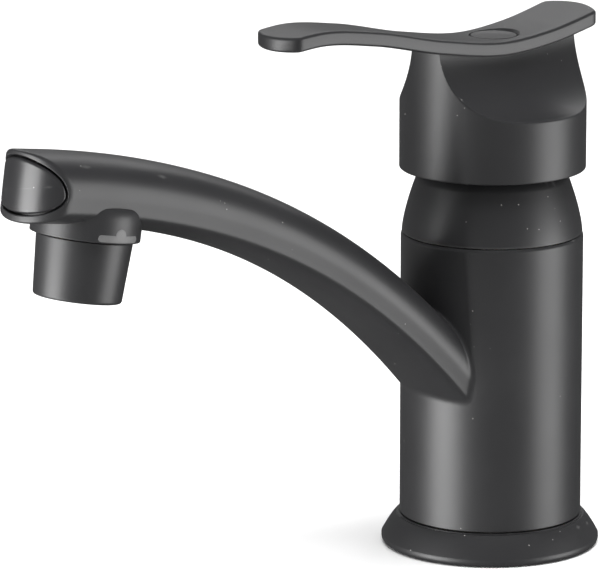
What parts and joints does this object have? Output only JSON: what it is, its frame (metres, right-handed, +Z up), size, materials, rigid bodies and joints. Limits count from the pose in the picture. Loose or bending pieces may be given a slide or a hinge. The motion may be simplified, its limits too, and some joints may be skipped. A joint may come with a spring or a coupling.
{
  "type": "bathroom mixer faucet",
  "caption": "Single-lever one-hole basin mixer with a straight column, a long arched spout with a turning nozzle, and a flat S-shaped lever on a scooped hub.",
  "frame": {"origin": "centre of the foot's underside, on the deck, on the column's axis", "axes": "+Z up along the column; the spout and the lever point along -Y; +X to the side"},
  "size_m": [0.0576, 0.1903, 0.1462],
  "materials": {
    "satin_black": "satin black coating on cast and turned metal",
    "index_grey": "satin grey",
    "cast_brass": "as cast and machined",
    "steel": "machined stainless steel",
    "black_rubber": "smooth moulded rubber",
    "white_nylon": "moulded engineering plastic",
    "ceramic": "lapped ceramic"
  },
  "bodies": {
    "base": {"deck_flange": "satin_black", "deck_gasket": "black_rubber", "inner_body": "cast_brass", "lower_swivel_seal": "black_rubber", "upper_swivel_seal": "black_rubber", "lower_glide_ring": "white_nylon", "upper_glide_ring": "white_nylon", "cartridge_base": "white_nylon", "hot_port_seal": "black_rubber", "cold_port_seal": "black_rubber", "outlet_port_seal": "black_rubber", "cartridge_housing": "white_nylon", "fixed_disc": "ceramic", "cartridge_nut": "cast_brass", "shoulder_cover": "satin_black"},
    "spout": {"spout_body": "satin_black", "nozzle_index": "index_grey", "nose_cover": "satin_black", "nose_plug": "white_nylon", "nose_plug_seal": "black_rubber", "spout_liner": "white_nylon", "nozzle_nipple": "cast_brass"},
    "nozzle": {"nozzle_sleeve": "satin_black", "nozzle_gasket": "black_rubber", "aerator_housing": "white_nylon", "spray_plate": "steel"},
    "cartridge_rotor": {"turn_guide": "white_nylon", "pivot_pin": "steel"},
    "disc_slider": {"moving_disc": "ceramic", "disc_carrier": "white_nylon"},
    "lever": {"lever_stem": "steel", "handle_hub": "satin_black", "lever_blade": "satin_black", "handle_screw": "steel", "screw_cap": "satin_black"}
  },
  "joints": [
    {"name": "spout_swivel", "type": "hinge", "parent": "base", "child": "spout", "pos_m": [0, 0, 0.046], "axis": [0, 0, 1], "range_deg": [-60, 60]},
    {"name": "nozzle_turn", "type": "hinge", "parent": "spout", "child": "nozzle", "pos_m": [0, -0.1372, 0.10285], "axis": [0, -0.1685, -0.9857], "range_deg": [-45, 45]},
    {"name": "lever_turn", "type": "hinge", "parent": "base", "child": "cartridge_rotor", "pos_m": [0, 0, 0.088], "axis": [0, 0, 1], "range_deg": [-45, 45]},
    {"name": "lever_lift", "type": "hinge", "parent": "cartridge_rotor", "child": "lever", "pos_m": [0, 0, 0.088], "axis": [-1, 0, 0], "range_deg": [0, 25]},
    {"name": "disc_slide", "type": "slide", "parent": "cartridge_rotor", "child": "disc_slider", "axis": [0, -1, 0], "range_m": [0, 0.0037]}
  ],
  "couplings": [
    {"joint": "disc_slide", "follows": "lever_lift", "m_per_rad": 0.0082}
  ]
}
